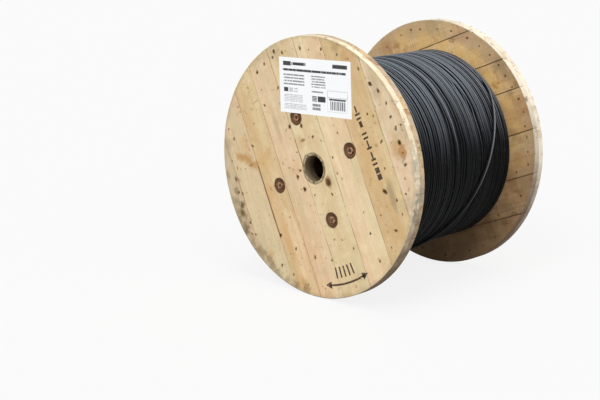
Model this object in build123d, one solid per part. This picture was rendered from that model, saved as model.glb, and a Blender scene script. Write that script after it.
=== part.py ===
from build123d import *
import os
from math import cos, sin, tan, radians, pi

# A wooden cable drum, wound with black power cable and standing on the rims of its flanges.
# Origin: on the spindle's axis, midway between the flanges.
# +Y runs along the spindle from the near flange to the far one, and +Z is up.

# Flanges: two layers of sawn boards nailed crosswise, cut to a circle
flange_d = 800
flange_inner_w = 530
board_thk = 20
board_gap = 1

# Directions of the boards, in degrees from +X towards +Z
near_outer_angle = -65
near_inner_angle = 25
far_inner_angle = 22
far_outer_angle = -68

# Widths of the boards across each layer. On a larger or smaller flange the outer two keep theirs,
# and the boards beside them are fitted
near_outer_widths = (60, 108, 95, 96, 119, 107, 125, 90)
near_inner_widths = (104, 112, 118, 122, 108, 116, 120)
far_inner_widths = (102, 111, 132, 136, 100, 122, 97)
far_outer_widths = (82, 105, 116, 94, 112, 98, 110, 83)

# Barrel: staves whose ends stand in a round groove in the inner boards
barrel_d = 400
stave_thk = 20
stave_count = 14
stave_gap = 1.5
barrel_groove_depth = 8
barrel_groove_clearance = 0.5

# Bushes: a length of steel tube in the middle of each flange, for the spindle
bore_d = 80
bush_wall = 5
bush_clearance = 0.5

# Tie bolts, set in from the staves' insides, with their nuts and heads sunk below the boards' faces
bolt_count = 4
bolt_start_angle = 27.5
bolt_inset = 15
bolt_d = 12
bolt_hole_clearance = 0.5
nut_flats = 19
nut_height = 10
head_height = 7.5
washer_d = 44
washer_thk = 3
counterbore_d = 48
counterbore_depth = 14
bolt_end_below_face = 0.5
washer_hole_clearance = 0.5

# Cable: turns laid side by side, each layer nested in the one below
cable_d = 8.5
cable_layers = 14
layer_rise = 7.4
winding_side_clearance = 0.5
winding_barrel_clearance = 0.3

# Groups of turns between the gaps of the outer layer: the turns in each, and how far it stands proud.
# A gap is as deep and wide as two round turns leave it where they part
turn_groups = ((6, 0.3), (6, 0.0), (7, 0.4), (4, 0.0), (4, 0.6), (5, 0.2), (6, 0.8), (4, 0.0), (6, 0.5),
               (6, 0.2), (2, 0.0))
turn_gap_w = 8
turn_gap_depth = 6

# The last turn, which lies along the far flange at first, then crosses over the others to the near one
crossing_start_angle = 45
crossing_sweep_angle = -210
crossing_runs = 12
crossing_lead_runs = 5
crossing_side_clearance = 0.5
crossing_lift = 0.3
crossing_sides = 8

# Paper label on the near flange
label_w = 295
label_h = 168
label_thk = 0.3
label_x = 3
label_below_top = 153
label_tilt = 2.5

flange_r = flange_d / 2
flange_thk = 2 * board_thk
near_inside = -flange_inner_w / 2
far_inside = flange_inner_w / 2
near_face = near_inside - flange_thk
far_face = far_inside + flange_thk
barrel_r = barrel_d / 2
bush_r = bore_d / 2 + bush_wall
cable_r = cable_d / 2
winding_r = barrel_r + cable_d + (cable_layers - 1) * layer_rise
bolt_places = PolarLocations(barrel_r - stave_thk - bolt_inset, bolt_count, bolt_start_angle)


def between(outline, y_low, y_high):
    """The outline, drawn with x to +X and y to +Z, made solid from y_low to y_high."""
    return extrude(Plane.XZ.offset(-y_high) * outline, y_high - y_low)


def save(shape, node):
    """Write one node's STEP file."""
    export_step(shape, f"parts/{node}.step")


def seams(widths):
    """Where the joints between boards lie across a layer, with its two open sides well outside the flange.
    The middle boards are laid about the spindle, and the outer two are measured in from the rim."""
    middle = [sum(widths[:count]) - sum(widths) / 2 for count in range(2, len(widths) - 1)]
    return [-flange_d, widths[0] - flange_r] + middle + [flange_r - widths[-1], flange_d]


def layer_boards(widths, angle, y_low, y_high, cuts):
    """The boards of one layer: strips of the flange's disc, less the holes and grooves that cross them."""
    edges = seams(widths)
    boards = []
    for low, high in zip(edges, edges[1:]):
        strip = Rot(0, 0, angle) * Pos(0, (low + high) / 2) * Rectangle(flange_d, high - low - board_gap)
        boards.append(between(Circle(flange_r) & strip, y_low, y_high) - cuts)
    return boards


def flange_holes():
    """The bush's seat and the bolts' holes, right through both flanges."""
    outline = Circle(bush_r + bush_clearance) + bolt_places * Circle(bolt_d / 2 + bolt_hole_clearance)
    return between(outline, near_face, far_face)


def counterbores(y_low, y_high):
    """The wide mouths of the bolts' holes, which take the washers and nuts."""
    return between(Sketch() + bolt_places * Circle(counterbore_d / 2), y_low, y_high)


def barrel_groove(y_low, y_high):
    """The round groove that holds the ends of the staves."""
    inner = barrel_r - stave_thk - barrel_groove_clearance
    ring = Circle(barrel_r + barrel_groove_clearance) - Circle(inner)
    return between(ring, y_low, y_high)


def barrel_stave():
    """One stave: flat inside, rounded outside, with bevelled sides and a narrow gap to the next."""
    half_angle = pi / stave_count
    inner = barrel_r - stave_thk
    outer = 2 * barrel_r
    side_gap = stave_gap / 2 / cos(half_angle)
    inner_half = inner * tan(half_angle) - side_gap
    outer_half = outer * tan(half_angle) - side_gap
    corners = ((inner, -inner_half), (outer, -outer_half), (outer, outer_half), (inner, inner_half))
    outline = Circle(barrel_r) & Polygon(*corners, align=None)
    return between(outline, near_inside - barrel_groove_depth, far_inside + barrel_groove_depth)


def bore_bush(y_low, y_high):
    """A cut length of steel tube."""
    return between(Circle(bush_r) - Circle(bore_d / 2), y_low, y_high)


def washer(y_low):
    """One big round washer."""
    ring = Circle(washer_d / 2) - Circle(bolt_d / 2 + washer_hole_clearance)
    return between(ring, y_low, y_low + washer_thk)


def nut(y_low):
    """One hexagon nut. Its threads are left out, and it closes on the bolt's shank."""
    outline = RegularPolygon(nut_flats / 2, 6, major_radius=False) - Circle(bolt_d / 2)
    return between(outline, y_low, y_low + nut_height)


def tie_bolt(y_end, y_head):
    """One hexagon-headed bolt through both flanges, its head on the far side."""
    shank = between(Circle(bolt_d / 2), y_end, y_head)
    head = between(RegularPolygon(nut_flats / 2, 6, major_radius=False), y_head, y_head + head_height)
    return shank + head


def at_bolts(piece):
    """A copy of the piece at each bolt. The places are drawn flat, so they are stood up in the XZ plane."""
    return [Pos(place.position.X, 0, place.position.Y) * piece for place in bolt_places]


def cable_winding():
    """All the turns as one turned solid, with the gaps between groups of turns cut into its outside."""
    low = near_inside + winding_side_clearance
    high = far_inside - winding_side_clearance
    pitch = (high - low) / sum(turns for turns, proud in turn_groups)
    inner = barrel_r + winding_barrel_clearance
    outline = [(inner, low)]
    start = low
    for turns, proud in turn_groups:
        end = start + turns * pitch
        top = winding_r + proud
        outline.append((winding_r - turn_gap_depth, start))
        outline.append((top, start + turn_gap_w / 2))
        outline.append((top, end - turn_gap_w / 2))
        start = end
    outline.append((winding_r - turn_gap_depth, high))
    outline.append((inner, high))
    return revolve(Plane.XY * Polygon(*outline, align=None), Axis.Y)


def crossing_turn():
    """The last turn: straight runs joined by arcs, each run touching the cylinder that the turns make.
    The first few stay beside the far flange. Its section has few sides, to keep it light."""
    proudest = max(proud for turns, proud in turn_groups)
    touch_r = winding_r + proudest + cable_r + crossing_lift
    step = crossing_sweep_angle / crossing_runs
    corner_r = touch_r / cos(radians(step / 2))
    y_start = far_inside - cable_r - crossing_side_clearance
    y_step = -2 * y_start / crossing_runs
    corners = []
    for index in range(-crossing_lead_runs, crossing_runs + 1):
        angle = radians(crossing_start_angle + index * step)
        y = y_start + max(index, 0) * y_step
        corners.append(Vector(corner_r * cos(angle), y, corner_r * sin(angle)))
    bend_radii = []
    for before, corner, after in zip(corners, corners[1:], corners[2:]):
        run_in = corner - before
        run_out = after - corner
        turn = radians(run_in.get_angle(run_out))
        bend_radii.append(0.45 * min(run_in.length, run_out.length) / tan(turn / 2))
    path = FilletPolyline(*corners, radius=bend_radii)
    print(f"crossing turn: {path.length:.0f} mm long, tightest bend radius {min(bend_radii):.0f} mm")
    section = RegularPolygon(cable_r, crossing_sides)
    return sweep(Plane(corners[0], z_dir=corners[1] - corners[0]) * section, path)


def paper_label():
    """A sheet of paper stapled flat on the near flange."""
    sheet = Pos(label_x, flange_r - label_below_top) * Rot(0, 0, label_tilt) * Rectangle(label_w, label_h)
    return between(sheet, near_face - label_thk, near_face)


os.makedirs("parts", exist_ok=True)

near_joint = near_face + board_thk
far_joint = far_face - board_thk
near_seat = near_face + counterbore_depth
far_seat = far_face - counterbore_depth

holes = flange_holes()
layers = (
    ("near_outer_board", near_outer_widths, near_outer_angle, near_face, near_joint,
     holes + counterbores(near_face, near_seat)),
    ("near_inner_board", near_inner_widths, near_inner_angle, near_joint, near_inside,
     holes + barrel_groove(near_inside - barrel_groove_depth, near_inside)),
    ("far_inner_board", far_inner_widths, far_inner_angle, far_inside, far_joint,
     holes + barrel_groove(far_inside, far_inside + barrel_groove_depth)),
    ("far_outer_board", far_outer_widths, far_outer_angle, far_joint, far_face,
     holes + counterbores(far_seat, far_face)),
)
for name, widths, angle, y_low, y_high, cuts in layers:
    for number, board in enumerate(layer_boards(widths, angle, y_low, y_high, cuts), 1):
        save(board, f"{name}_{number}")

stave = barrel_stave()
for number in range(1, stave_count + 1):
    save(Rot(0, number * 360 / stave_count, 0) * stave, f"barrel_stave_{number}")

save(bore_bush(near_face, near_inside), "near_bore_bush")
save(bore_bush(far_inside, far_face), "far_bore_bush")

bolt = tie_bolt(near_face + bolt_end_below_face, far_seat + washer_thk)
for number, placed in enumerate(at_bolts(bolt), 1):
    save(placed, f"tie_bolt_{number}")
save(Compound(at_bolts(washer(near_seat - washer_thk)) + at_bolts(washer(far_seat))), "bolt_washers")
save(Compound(at_bolts(nut(near_seat - washer_thk - nut_height))), "tie_nuts")

save(cable_winding(), "cable_winding")
save(crossing_turn(), "cable_crossing_turn")
save(paper_label(), "paper_label")
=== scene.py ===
from math import atan2, cos, degrees, pi, radians, sin

import bpy
import numpy as np
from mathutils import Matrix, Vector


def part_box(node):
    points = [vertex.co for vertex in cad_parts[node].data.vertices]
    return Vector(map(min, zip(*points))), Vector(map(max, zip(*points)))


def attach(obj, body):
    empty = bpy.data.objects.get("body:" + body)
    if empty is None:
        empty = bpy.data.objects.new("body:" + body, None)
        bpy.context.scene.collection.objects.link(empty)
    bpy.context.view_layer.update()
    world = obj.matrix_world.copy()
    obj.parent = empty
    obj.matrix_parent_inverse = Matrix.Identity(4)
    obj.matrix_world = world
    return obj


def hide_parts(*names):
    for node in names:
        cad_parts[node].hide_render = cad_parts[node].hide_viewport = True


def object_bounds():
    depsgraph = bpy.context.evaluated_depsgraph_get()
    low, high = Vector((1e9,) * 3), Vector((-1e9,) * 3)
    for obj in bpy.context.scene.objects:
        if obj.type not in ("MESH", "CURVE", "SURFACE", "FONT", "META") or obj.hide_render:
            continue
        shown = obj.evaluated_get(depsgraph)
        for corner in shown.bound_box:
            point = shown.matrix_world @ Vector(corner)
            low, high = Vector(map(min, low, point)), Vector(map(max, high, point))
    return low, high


# A wooden cable drum, wound with black power cable and standing on the rims of its flanges.
# The spindle's axis is Y, the near flange looks towards -Y, and Z is up. Lengths are in metres,
# but lists of places on the flanges are in millimetres and are multiplied by mm where they are used.
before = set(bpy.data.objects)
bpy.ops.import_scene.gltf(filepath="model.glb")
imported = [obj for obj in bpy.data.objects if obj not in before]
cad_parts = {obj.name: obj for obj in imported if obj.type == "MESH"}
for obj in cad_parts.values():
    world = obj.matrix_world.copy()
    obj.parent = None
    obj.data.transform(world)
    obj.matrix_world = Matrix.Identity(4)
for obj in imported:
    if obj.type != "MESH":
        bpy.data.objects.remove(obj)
cad_low, cad_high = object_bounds()


# Flange boards
# Rough-sawn pine boards, two layers to a flange, nailed crosswise and then cut to a circle.
# The near flange is pale and dry, the far one's inner face is warmer, and the rims are scuffed by rolling.
class Signal:
    """A value in a material's nodes. Arithmetic on it adds Math nodes."""

    def __init__(self, tree, socket=None):
        self.tree = tree
        self.socket = socket

    def node(self, kind, settings=(), sockets=(), out=0):
        """Add a node. Its settings are set first, and then its sockets take values or links."""
        made = self.tree.nodes.new("ShaderNode" + kind)
        for key, value in dict(settings).items():
            setattr(made, key, value)
        for key, value in dict(sockets).items():
            if isinstance(value, Signal):
                self.tree.links.new(value.socket, made.inputs[key])
            else:
                made.inputs[key].default_value = value
        return Signal(self.tree, made.outputs[out])

    def math(self, operation, first, second):
        """One Math node."""
        return self.node("Math", {"operation": operation}, {0: first, 1: second})

    def __add__(self, other):
        return self.math("ADD", self, other)

    def __radd__(self, other):
        return self.math("ADD", other, self)

    def __sub__(self, other):
        return self.math("SUBTRACT", self, other)

    def __rsub__(self, other):
        return self.math("SUBTRACT", other, self)

    def __mul__(self, other):
        return self.math("MULTIPLY", self, other)

    def __rmul__(self, other):
        return self.math("MULTIPLY", other, self)

    def __truediv__(self, other):
        return self.math("DIVIDE", self, other)

    def __pow__(self, other):
        return self.math("POWER", self, other)

    def __abs__(self):
        return self.math("ABSOLUTE", self, 0.0)


def tint(red, green, blue):
    """A colour as seen on a screen, 0 to 255, turned into the linear colour that a shader takes."""
    return tuple(((channel / 255 + 0.055) / 1.055) ** 2.4 for channel in (red, green, blue)) + (1.0,)


def fade(value, start, end, top=1.0):
    """A smooth step: 0 at start and beyond, top at end and beyond. End may be below start."""
    low, high = min(start, end), max(start, end)
    limits = {"Value": value, "From Min": low, "From Max": high, "To Max": top}
    if start > end:
        limits.update({"To Min": top, "To Max": 0.0})
    return value.node("MapRange", {"interpolation_type": "SMOOTHSTEP"}, limits)


def largest(first, second):
    """The larger of two values."""
    return first.math("MAXIMUM", first, second)


def over(share, below, above):
    """The colour below, with share of the colour above laid over it."""
    return share.node("Mix", {"data_type": "RGBA"}, {0: share, 6: below, 7: above}, 2)


def layered(colour, layers):
    """A colour with others laid over it in turn. Each layer is a pattern, the value at which it begins,
    the value at which it is full, its share there, and its colour."""
    for pattern, start, end, share, above in layers:
        colour = over(fade(pattern, start, end, share), colour, above)
    return colour


def noise(place, scale, detail=3.0, roughness=0.5):
    """Smooth noise between 0 and 1, mostly near a half."""
    sockets = {"Vector": place, "Scale": scale, "Detail": detail, "Roughness": roughness}
    return place.node("TexNoise", {}, sockets)


def wobble(place, scale, size, detail=3.0, roughness=0.5):
    """Smooth noise about zero, mostly within half of size."""
    return (noise(place, scale, detail, roughness) - 0.5) * size


def stretched(place, x, y, z):
    """A place with its three axes scaled, so that noise on it is long where the scale is small."""
    return place.node("VectorMath", {"operation": "MULTIPLY"}, {0: place, 1: (x, y, z)})


def parts(place):
    """The x, y and z of a place."""
    split = place.node("SeparateXYZ", {}, {0: place}).socket.node
    return [Signal(place.tree, output) for output in split.outputs]


def distance(place, x, z):
    """How far a flattened place is from the point (x, z)."""
    return place.node("VectorMath", {"operation": "DISTANCE"}, {0: place, 1: (x, 0.0, z)}, 1)


def turned_to(x, z, turn):
    """The point (x, z) measured on axes turned by an angle: how far along them, and how far across."""
    return x * np.cos(turn) + z * np.sin(turn), z * np.cos(turn) - x * np.sin(turn)


def new_material(name):
    """A material, its shader node and the place on the piece."""
    made = bpy.data.materials.new(name)
    made.use_nodes = True
    place = Signal(made.node_tree).node("TexCoord", out=3)
    return made, made.node_tree.nodes["Principled BSDF"], place


def dress(shader, colour, roughness, height=None, depth=0.0005, strength=0.6, metal=0.0, shine=0.5,
          alpha=1.0):
    """Feed a shader its colour, roughness, metal, shine and alpha, and its normal from a height."""
    links = shader.id_data.links
    values = {"Base Color": colour, "Roughness": roughness, "Metallic": metal, "Specular IOR Level": shine,
              "Alpha": alpha}
    for name, value in values.items():
        if isinstance(value, Signal):
            links.new(value.socket, shader.inputs[name])
        else:
            shader.inputs[name].default_value = value
    if height is not None:
        bump = height.node("Bump", {}, {"Height": height, "Distance": depth, "Strength": strength})
        links.new(bump.socket, shader.inputs["Normal"])


mm = 0.001
flange_r = cad_high.x
bolt_count = 4
bolt_places = []
for number in range(1, bolt_count + 1):
    bolt_low, bolt_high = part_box(f"tie_bolt_{number}")
    bolt_places.append(((bolt_low.x + bolt_high.x) / 2, (bolt_low.z + bolt_high.z) / 2))
bush_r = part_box("near_bore_bush")[1].x
recess_r = 0.024
bruise_reach = 0.01

knot_brown = tint(172, 124, 72)
knot_ring = tint(122, 80, 42)
seam_brown = tint(128, 84, 44)
stain_brown = tint(104, 82, 50)
gold_wood = tint(234, 194, 118)
pink_brown = tint(176, 128, 92)
rot_brown = tint(118, 78, 50)
pink_wood = tint(228, 192, 160)
green_wood = tint(200, 190, 150)
tan_wood = tint(196, 160, 112)
stain_grey = tint(152, 146, 116)
worn_grey = tint(142, 138, 116)
rubbed_brown = tint(184, 154, 118)
grime_brown = tint(84, 62, 40)
shadow_brown = tint(90, 62, 34)
dirt_and_shade_brown = tint(98, 72, 44)
smoke_brown = tint(122, 92, 52)
smear_tan = tint(188, 144, 86)
dark_brown = tint(70, 46, 18)
smoke_grey = tint(132, 116, 86)
orange_wood = tint(210, 162, 100)
rust_brown = tint(168, 112, 52)
bolt_stain = tint(92, 64, 32)
bore_stain = tint(110, 94, 62)
bruise_brown = tint(112, 84, 34)
head_brown = tint(62, 44, 20)


def board_span(node, turn):
    """How far a board reaches across its layer, from its corners, and its middle through the layer."""
    corners = np.array([corner.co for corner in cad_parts[node].data.vertices], float)
    across = turned_to(corners[:, 0], corners[:, 2], turn)[1]
    return (across.min(), across.max()), (corners[:, 1].min() + corners[:, 1].max()) / 2


def cover(node, made):
    """Give a CAD node its material."""
    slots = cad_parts[node].data.materials
    slots.clear()
    slots.append(made)


class Board:
    """One board's material and its axes: along and across the grain, through the layer, out from the
    spindle and up. Shifted is the board's own place in the noise, and flat is pressed onto the face."""

    def __init__(self, node, angle, seed):
        self.made, self.shader, self.place = new_material(node)
        self.turn = radians(angle)
        (self.low, self.high), self.middle = board_span(node, self.turn)
        self.rng = np.random.default_rng(seed)
        turned = self.place.node("Mapping", {}, {"Vector": self.place, "Rotation": (0, self.turn, 0)})
        self.along, self.through, self.across = parts(turned)
        shift = tuple(self.rng.uniform(3, 30, 3))
        self.shifted = turned.node("VectorMath", {"operation": "ADD"}, {0: turned, 1: shift})
        self.flat = stretched(self.place, 1.0, 0.0, 1.0)
        self.radius = distance(self.flat, 0.0, 0.0)
        self.height = parts(self.place)[2]

    def grain(self, along, through, across, detail=3.0, roughness=0.5, scale=1.0):
        """Noise in the board's axes, long along the grain."""
        return noise(stretched(self.shifted, along, through, across), scale, detail, roughness)

    def spot(self, x, z, long, wide, ragged):
        """How far a point is from (x, z) on the face, in lengths along the grain and widths across it.
        The four are in millimetres, and ragged is the scale of the noise in the spot's edge."""
        centre_along, centre_across = turned_to(x * mm, z * mm, self.turn)
        du = (self.along - centre_along) / (long * mm)
        dv = (self.across - centre_across) / (wide * mm)
        return (du * du + dv * dv) ** 0.5 + wobble(self.shifted, ragged, 1.3, 4.0, 0.6)

    def reaches(self, x, z, margin):
        """Whether the board comes within a margin of (x, z) across its grain."""
        return self.low - margin < turned_to(x, z, self.turn)[1] < self.high + margin


def growth_rings(board, knots):
    """Where late wood darkens the growth rings, and each knot's heart and edge. The rings are cylinders
    about a pith behind the board, so they show as long figures on the face and as arcs on the sawn ends.
    Knots, each (x, z, radius), push them aside."""
    wander = board.grain(1.6, 5.0, 5.0, 2.0)
    pith_across = (board.low + board.high) / 2 + board.rng.uniform(-0.35, 0.35) * (board.high - board.low)
    pith_through = board.middle + board.rng.choice((-1, 1)) * board.rng.uniform(0.04, 0.09)
    off_across = board.across - pith_across + (wander - 0.5) * 0.09
    off_through = board.through - pith_through
    reach = (off_across * off_across + off_through * off_through) ** 0.5
    knot_masks = []
    for x, z, knot_r in knots:
        away = board.spot(x, z, 1.4 * knot_r, knot_r, 90.0)
        reach = reach + fade(away, 3.2, 0.2, 0.9 * knot_r * mm)
        knot_masks.append((fade(away, 1.25, 0.55), fade(away, 1.5, 1.0) * fade(away, 0.35, 0.9)))
    ring_width = board.rng.uniform(0.0042, 0.0062)
    phase = reach / ring_width + noise(board.shifted, 14.0, 2.0) * 0.7
    ring = phase.math("FRACT", phase, 0.0)
    return fade(ring, 0.35, 0.90) * fade(ring, 1.0, 0.93), knot_masks


def shades(pale, warm, grime_and_shade):
    """A darker and a lighter shade of a board's wood."""
    shares = (0.66, 0.54, 0.40) if grime_and_shade > 0 else (0.84, 0.72, 0.54)
    deeper = tuple(channel * share for channel, share in zip(warm[:3], shares)) + (1.0,)
    lighter = tuple(min(1.0, channel * 1.16 + 0.02) for channel in pale[:3]) + (1.0,)
    return deeper, lighter


def sawn_wood(board, pale, warm, late, grime_and_shade):
    """The colour of sawn wood: broad changes of tone, late wood, streaks, fibres, mottling and the marks of
    the saw. On grimy wood the lines along the grain and the marks across it stand out."""
    deeper, lighter = shades(pale, warm, grime_and_shade)
    streak = board.grain(1.3, 30.0, 30.0, 4.0, 0.6)
    mottle = board.grain(22.0, 34.0, 34.0, 5.0, 0.68)
    colour = layered(pale, (
        (board.grain(1.0, 6.0, 9.0, 2.0), 0.36, 0.66, 1.0, warm),
        (board.grain(2.2, 9.0, 13.0, scale=1.3), 0.48, 0.66, 0.45, pink_wood),
        (board.grain(2.6, 8.0, 10.0, scale=1.7), 0.52, 0.70, 0.42, green_wood),
        (noise(board.shifted, 9.0, 4.0, 0.6), 0.54, 0.74, 0.30, tan_wood)))
    colour = over(late * 0.17, colour, deeper)
    colour = layered(colour, (
        (streak, 0.54, 0.80, 0.34, deeper),
        (streak, 0.45, 0.24, 0.50, lighter),
        (board.grain(22.0, 420.0, 420.0, 3.0, 0.6), 0.56, 0.78, 0.16, deeper),
        (mottle, 0.50, 0.70, 0.30 + 0.6 * grime_and_shade, deeper),
        (mottle, 0.49, 0.31, 0.34, lighter),
        (board.grain(240.0, 4.0, 8.0, 2.0), 0.52, 0.72, 0.12 + 0.5 * grime_and_shade, deeper)))
    if grime_and_shade > 0:
        lines = board.grain(3.0, 130.0, 130.0, 4.0, 0.7)
        colour = layered(colour, (
            (lines, 0.52, 0.68, 0.7 * grime_and_shade, deeper),
            (lines, 0.46, 0.32, 0.4 * grime_and_shade, lighter),
            (board.grain(110.0, 5.0, 9.0, 3.0, 0.6), 0.52, 0.66, 0.5 * grime_and_shade, deeper)))
    return colour


def weathered(board, colour, stains):
    """Grey patches towards the rim, and a grey band along it."""
    patch = noise(board.shifted, 7.0, 4.0, 0.62)
    colour = over(fade(patch, 0.56, 0.74) * fade(board.radius, 0.22, 0.38, stains), colour, stain_grey)
    edge_reach = board.radius + wobble(board.place, 30.0, 0.05, 5.0, 0.7)
    return over(fade(edge_reach, flange_r - 0.016, flange_r + 0.002, 1.2 * stains), colour, stain_grey)


def rubbed_zone(board, colour):
    """The outer band of a flange's inside, rubbed by hands, with a thin dirty line where it ends."""
    zone_r = 0.86 * flange_r
    edge = board.radius + wobble(board.place, 20.0, 0.006, 2.0)
    rubbed = fade(noise(board.place, 5.0, 2.0), 0.40, 0.60, 0.45) + 0.15
    colour = over(fade(edge, zone_r - 0.005, zone_r + 0.010) * rubbed, colour, rubbed_brown)
    line = fade(abs(edge - zone_r), 0.0016, 0.0004) * fade(noise(board.place, 4.0, 2.0), 0.50, 0.60)
    return over(line * 0.5, colour, grime_brown)


def stained(board, colour, knot_masks, smears, blots):
    """Knots, smears along the grain, each (x, z, length, width, share, colour), and round blots that run on
    from board to board, each (x, z, radius, share, colour)."""
    for heart, edge in knot_masks:
        colour = over(heart * 0.55, colour, knot_brown)
        colour = over(edge * 0.45, colour, knot_ring)
    for x, z, long, wide, share, above in smears:
        colour = layered(colour, ((board.spot(x, z, long, wide, 40.0), 1.25, 0.35, share, above),))
    ragged = wobble(board.place, 42.0, 0.070, 6.0, 0.75)
    for x, z, radius, share, above in blots:
        if board.reaches(x * mm, z * mm, 1.6 * radius * mm):
            away = distance(board.flat, x * mm, z * mm) + ragged
            colour = layered(colour, ((away, 1.45 * radius * mm, 0.15 * radius * mm, share, above),))
    return colour


def open_seams(board, cracks):
    """Where dirt darkens the board's long edges. Cracks, each (start, end, at_high) along the grain in
    metres, are stretches where the joint has opened."""
    nearest = board.across - board.low
    nearest = nearest.math("MINIMUM", nearest, board.high - board.across)
    seam = fade(nearest, 0.0028, 0.0003) * fade(noise(board.shifted, 9.0), 0.40, 0.68, 0.55)
    for start, end, at_high in cracks:
        gap = board.high - board.across if at_high else board.across - board.low
        ends = fade(board.along, start - 0.015, start) * fade(board.along, end + 0.015, end)
        seam = largest(seam, fade(gap + wobble(board.shifted, 30.0, 0.004), 0.0036, 0.0006) * ends * 0.95)
    return seam


def rusted_round_steel(board, colour):
    """Dark stains round the bolts' recesses and the bush."""
    for x, z in bolt_places:
        if board.reaches(x, z, recess_r):
            gap = distance(board.flat, x, z) + wobble(board.place, 60.0, 0.010)
            colour = layered(colour, ((gap, recess_r + 0.003, recess_r - 0.002, 0.75, bolt_stain),))
    bore_edge = board.radius + wobble(board.place, 50.0, 0.008)
    return layered(colour, ((bore_edge, bush_r + 0.006, bush_r + 0.001, 0.8, bore_stain),))


def sawn_rim(board, colour, rim, late, deeper):
    """The colour of the face, and beyond it the flange's sawn rim: three mottled shades, worn grey halfway
    down, with dirty flecks all round, and darker below, partly soiled where the drum has rolled and partly
    painted shade. A rim is its three shades and its share of wear."""
    light, mid, dark, wear = rim
    blotch = noise(board.place, 13.0, 4.0, 0.6)
    edge = layered(light, (
        (blotch, 0.44, 0.58, 1.0, mid),
        (noise(board.place, 34.0), 0.54, 0.64, 0.7, dark)))
    edge = over(late * 0.25, edge, deeper)
    worn = fade(noise(board.place, 18.0, 5.0, 0.7), 0.44, 0.60) * fade(board.height, 0.26, 0.0, wear)
    edge = over(worn, edge, worn_grey)
    # Painted shade and dirty flecks: the rim is painted darker towards the bottom.
    dirt_and_shade = fade(board.height + (blotch - 0.5) * 0.3, 0.02, -0.28, 0.9)
    dirt_and_shade = largest(dirt_and_shade, fade(noise(board.place, 42.0, 4.0, 0.65), 0.58, 0.68, 0.75))
    edge = over(dirt_and_shade, edge, dirt_and_shade_brown)
    return layered(colour, ((board.radius, flange_r - 0.0022, flange_r - 0.0008, 1.0, edge),))


def pine(node, angle, pale, warm, seed, rim, knots=(), smears=(), blots=(), cracks=(), nails=(),
         rubbed=False, grime_and_shade=0.0, stains=0.5):
    """Cover a board with sawn pine. Nails, each (x, z, radius) in metres, are heads level with the wood."""
    board = Board(node, angle, seed)
    late, knot_masks = growth_rings(board, knots)
    colour = sawn_wood(board, pale, warm, late, grime_and_shade)
    colour = weathered(board, colour, stains)
    if rubbed:
        colour = rubbed_zone(board, colour)
    colour = stained(board, colour, knot_masks, smears, blots)
    seam = open_seams(board, cracks)
    colour = over(seam, colour, dark_brown if grime_and_shade > 0 else seam_brown)
    colour = rusted_round_steel(board, colour)
    colour = layered(colour, ((noise(board.shifted, 75.0), 0.63, 0.74, 0.5, smoke_brown),))
    colour = sawn_rim(board, colour, rim, late, shades(pale, warm, grime_and_shade)[0])
    # Painted shade: on the far flange's inside the same share also paints the boards darker towards the
    # bottom, under the winding.
    if grime_and_shade > 0:
        shadow = board.height + wobble(board.shifted, 9.0, 0.24, 4.0, 0.6)
        colour = layered(colour, ((shadow, 0.36, -0.28, grime_and_shade, shadow_brown),))
    relief = late * -0.4 + board.grain(22.0, 420.0, 420.0, 3.0, 0.6) * 0.5 + seam * -1.2
    heads = [(x, z, head_r) for x, z, head_r in nails if board.reaches(x, z, bruise_reach)]
    if heads:
        nearest = 9.0
        for x, z, head_r in heads:
            off = distance(board.flat, x, z) / head_r
            nearest = off.math("MINIMUM", off, nearest)
        colour = layered(colour, ((nearest + wobble(board.place, 170.0, 2.0), 3.4, 1.0, 0.5, bruise_brown),
                                  (nearest, 1.15, 0.85, 0.85, head_brown)))
        relief = relief - fade(nearest, 1.15, 0.85)
    roughness = 0.62 + board.grain(1.3, 30.0, 30.0, 4.0, 0.6) * 0.22
    dress(board.shader, colour, roughness, relief, 0.0004, 0.55)
    cover(node, board.made)


near_outer_angle = -65
near_inner_angle = 25
far_inner_angle = 22
far_outer_angle = -68
inner_board_count = 7
outer_board_count = 8

near_outer_tones = (
    (tint(206, 192, 160), tint(196, 172, 138)),
    (tint(214, 194, 156), tint(204, 176, 138)),
    (tint(218, 196, 152), tint(206, 172, 122)),
    (tint(226, 204, 168), tint(218, 186, 148)),
    (tint(226, 208, 168), tint(216, 192, 150)),
    (tint(228, 210, 170), tint(222, 192, 152)),
    (tint(220, 197, 151), tint(209, 178, 131)),
    (tint(228, 210, 178), tint(216, 190, 154)),
)
near_outer_knots = {
    4: ((-35, 350, 15),),
    5: ((62, -31, 11),),
    6: ((110, 359, 10),),
    8: ((350, 102, 12),),
}
near_outer_smears = {
    1: ((-316, -170, 10, 7, 0.9, smoke_brown), (-315, -191, 14, 9, 1.0, smoke_brown),
        (-384, 10, 50, 12, 0.4, stain_grey)),
    2: ((-272, -30, 6, 13, 1.0, smoke_brown), (-246, -16, 12, 6, 1.0, smoke_brown),
        (-305, 30, 30, 26, 0.35, orange_wood)),
    3: ((-190, -110, 60, 14, 0.4, orange_wood), (-110, -240, 80, 14, 0.4, orange_wood),
        (-236, 230, 100, 10, 0.35, smoke_grey)),
    4: ((-168, -100, 18, 6, 0.8, smear_tan), (-160, 110, 70, 10, 0.3, smoke_grey)),
    5: ((59, -32, 13, 12, 1.0, knot_ring), (64, -34, 11, 9, 1.0, dark_brown),
        (-47, 80, 6, 13, 0.9, smoke_brown)),
    7: ((215, 50, 90, 16, 0.4, orange_wood), (312, -30, 60, 14, 0.5, smoke_grey),
        (300, 150, 30, 10, 0.4, orange_wood), (160, 290, 60, 14, 0.35, smear_tan)),
    8: ((352, 99, 7, 14, 0.9, smear_tan), (335, -45, 14, 8, 0.9, smoke_grey),
        (362, 66, 5, 9, 0.8, smoke_grey), (240, 275, 60, 20, 0.3, smoke_grey)),
}
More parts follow.
